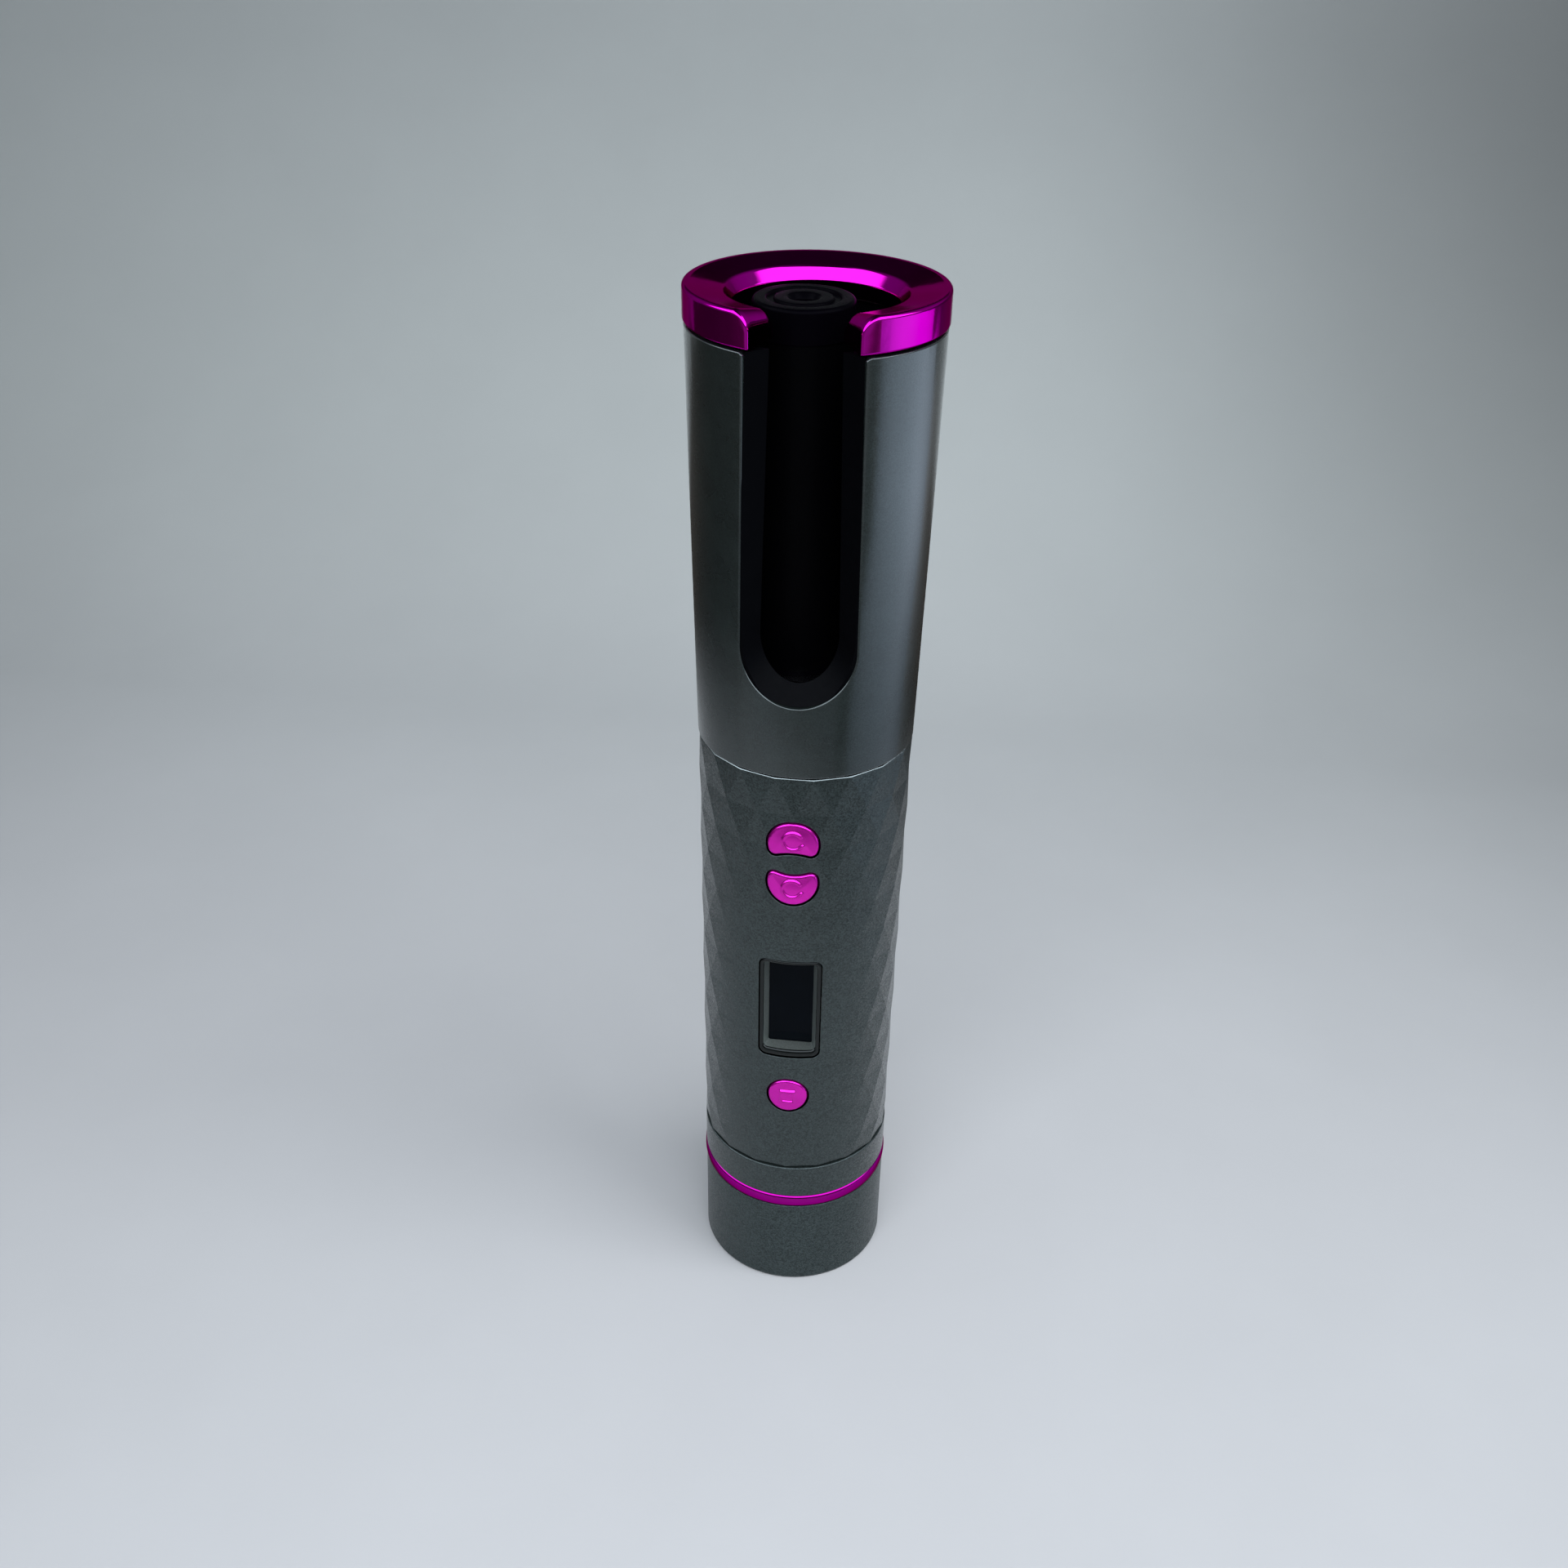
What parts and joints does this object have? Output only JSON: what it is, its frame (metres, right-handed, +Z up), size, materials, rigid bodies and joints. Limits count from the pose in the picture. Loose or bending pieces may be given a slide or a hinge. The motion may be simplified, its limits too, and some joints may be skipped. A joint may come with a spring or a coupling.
{
  "type": "curling iron",
  "caption": "Cordless automatic curling iron: slotted barrel with a turning drum round a heated rod, faceted handle with display and buttons, flat base to stand on.",
  "frame": {"origin": "centre of the flat underside of the base, on the drum's axis", "axes": "+Z up the axis to the cap; -Y out of the hair slot, the buttons and the display; +X to the right as one faces the slot"},
  "size_m": [0.0448, 0.0432, 0.212],
  "materials": {
    "magenta_chrome": "tinted mirror plating",
    "gunmetal_gloss": "metallic flake lacquer, glossy",
    "gunmetal_satin": "metallic flake lacquer, satin",
    "black_gloss": "smooth black",
    "black_glass": "dark display window",
    "black_coat": "black ceramic coating",
    "black_heatproof": "heat-resistant moulding",
    "white_plastic": "natural moulding",
    "bare_aluminium": "machined",
    "ceramic_white": "fired ceramic",
    "plated_steel": "zinc plated",
    "brass": "turned",
    "board_green": "solder mask",
    "cell_wrap": "shrink sleeve",
    "wire_sleeve": "silicone sleeve"
  },
  "bodies": {
    "housing": {"top_cap": "magenta_chrome", "barrel_shell": "gunmetal_gloss", "slot_liner": "black_gloss", "handle_shell": "gunmetal_satin", "base_collar": "gunmetal_satin", "trim_ring": "magenta_chrome", "base_cup": "gunmetal_satin", "display_bezel": "gunmetal_gloss", "display_lens": "black_glass", "rotor_bush": "brass", "rotor_washer": "plated_steel", "heater_tube": "black_coat", "heat_spreaders": "bare_aluminium", "heater_element": "ceramic_white", "thermal_fuse": "brass", "thermistor": "brass", "rod_holder": "black_heatproof", "rod_anchor": "plated_steel", "rod_end_cap": "black_heatproof", "rod_end_screw": "plated_steel", "bulkhead": "black_heatproof", "drive_motor": "plated_steel", "motor_gearbox": "brass", "gearbox_screws": "plated_steel", "hall_sensor": "black_heatproof", "inner_frame": "white_plastic", "main_board": "board_green", "board_parts": "black_heatproof", "lcd_module": "white_plastic", "switch_bodies": "black_heatproof", "battery_cell": "cell_wrap", "battery_tabs": "plated_steel", "charge_board": "board_green", "charge_inlet": "plated_steel", "board_screws": "plated_steel", "frame_screws": "plated_steel", "base_screws": "plated_steel", "heater_leads": "wire_sleeve", "sensor_leads": "wire_sleeve", "motor_leads": "wire_sleeve", "battery_leads": "wire_sleeve", "charge_leads": "wire_sleeve"},
    "drum": {"rotor_drum": "black_gloss", "rotor_ring_gear": "white_plastic", "home_magnet": "plated_steel"},
    "pinion": {"drive_pinion": "brass"},
    "curl_left_button": {"button_curl_left": "magenta_chrome", "plunger_curl_left": "white_plastic"},
    "curl_right_button": {"button_curl_right": "magenta_chrome", "plunger_curl_right": "white_plastic"},
    "mode_button": {"button_mode": "magenta_chrome", "plunger_mode": "white_plastic"}
  },
  "joints": [
    {"name": "drum_spin", "type": "hinge", "parent": "housing", "child": "drum", "pos_m": [0, 0, 0.14], "axis": [0, 0, 1], "continuous": true},
    {"name": "pinion_spin", "type": "hinge", "parent": "housing", "child": "pinion", "pos_m": [0, 0.0119, 0.134], "axis": [0, 0, 1], "continuous": true},
    {"name": "curl_left_press", "type": "slide", "parent": "housing", "child": "curl_left_button", "axis": [0, 1, 0], "range_m": [0, 0.0004], "stiffness_N_per_m": 3000},
    {"name": "curl_right_press", "type": "slide", "parent": "housing", "child": "curl_right_button", "axis": [0, 1, 0], "range_m": [0, 0.0004], "stiffness_N_per_m": 3000},
    {"name": "mode_press", "type": "slide", "parent": "housing", "child": "mode_button", "axis": [0, 1, 0], "range_m": [0, 0.0004], "stiffness_N_per_m": 3000}
  ],
  "couplings": [
    {"joint": "pinion_spin", "follows": "drum_spin", "ratio": 4.4}
  ]
}
